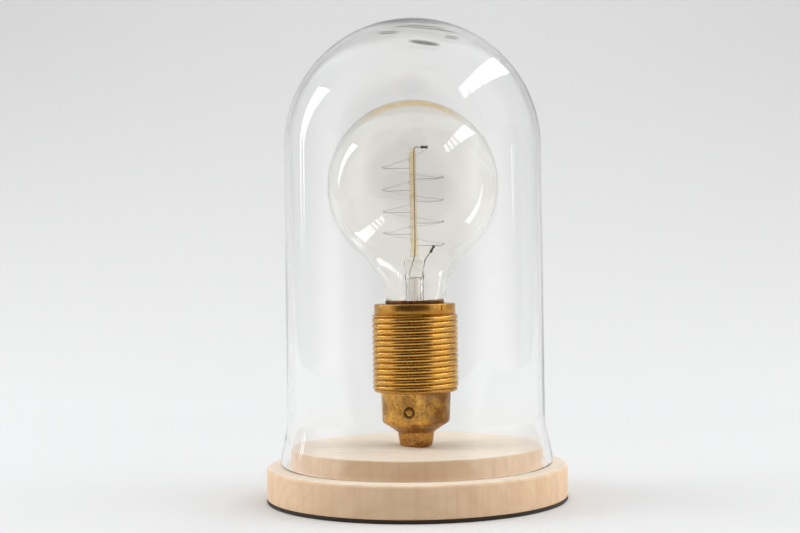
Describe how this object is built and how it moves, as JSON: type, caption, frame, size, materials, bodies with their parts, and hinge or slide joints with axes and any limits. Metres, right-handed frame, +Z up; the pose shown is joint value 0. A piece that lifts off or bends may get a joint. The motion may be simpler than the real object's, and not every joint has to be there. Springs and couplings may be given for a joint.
{
  "type": "glass dome table lamp",
  "caption": "Table lamp with a clear globe filament bulb in a threaded brass lampholder, standing on a round wooden base under a clear glass dome that lifts off.",
  "frame": {"origin": "centre of the underside of the pad under the base", "axes": "+Z up along the axis of base, lampholder, bulb and dome; -Y is the front, +Y the side of the cord inlet"},
  "size_m": [0.14, 0.14, 0.2238],
  "materials": {
    "dark_felt": "dark pressed felt",
    "pale_wood": "satin, unstained pale wood",
    "zinc_steel": "zinc plated",
    "plain_brass": "plain",
    "black_rubber": "matt",
    "aged_brass": "aged, with brown and reddish patina",
    "screw_brass": "dark aged",
    "ceramic": "fired steatite ceramic",
    "spring_bronze": "spring bronze",
    "bright_brass": "polished, lightly tarnished",
    "cap_brass": "rolled sheet, bright",
    "black_glass": "glossy black glass",
    "solder": "dull tin",
    "cement": "matt cement",
    "bulb_glass": "clear, faintly amber",
    "stem_glass": "clear",
    "amber_rod": "amber",
    "hook_wire": "thin drawn wire",
    "filament": "coiled thin wire",
    "lead_wire": "drawn wire",
    "clamp_metal": "dark crimped metal",
    "dome_glass": "clear, polished"
  },
  "bodies": {
    "base": {"wood_base": "pale_wood", "base_pad": "dark_felt", "threaded_nipple": "zinc_steel", "nipple_washer": "zinc_steel", "nipple_nut": "plain_brass", "cord_grommet": "black_rubber", "holder_cap": "aged_brass", "cap_side_screw": "screw_brass", "holder_core": "ceramic", "live_terminal": "plain_brass", "neutral_terminal": "plain_brass", "terminal_screws": "zinc_steel", "centre_contact": "spring_bronze", "screw_shell": "plain_brass", "insulating_ring": "ceramic", "holder_shell": "bright_brass"},
    "dome": {"glass_dome": "dome_glass"},
    "bulb_lift": {"tip_contact": "solder"},
    "bulb": {"bulb_glass": "bulb_glass", "bulb_cap": "cap_brass", "cap_insulator": "black_glass", "capping_cement": "cement", "stem_flare": "stem_glass", "exhaust_tube": "stem_glass", "glass_rod": "amber_rod", "support_hooks": "hook_wire", "filament": "filament", "long_lead_wire": "lead_wire", "short_lead_wire": "lead_wire", "filament_clamps": "clamp_metal"}
  },
  "joints": [
    {"name": "dome_lift", "type": "slide", "parent": "base", "child": "dome", "axis": [0, 0, 1], "range_m": [0, 0.19]},
    {"name": "bulb_rise", "type": "slide", "parent": "base", "child": "bulb_lift", "axis": [0, 0, 1], "range_m": [0, 0.0164]},
    {"name": "bulb_turn", "type": "hinge", "parent": "bulb_lift", "child": "bulb", "pos_m": [0, 0, 0.0658], "axis": [0, 0, 1], "range_deg": [0, 1620]}
  ],
  "couplings": [
    {"joint": "bulb_rise", "follows": "bulb_turn", "m_per_rad": 0.00057757}
  ]
}
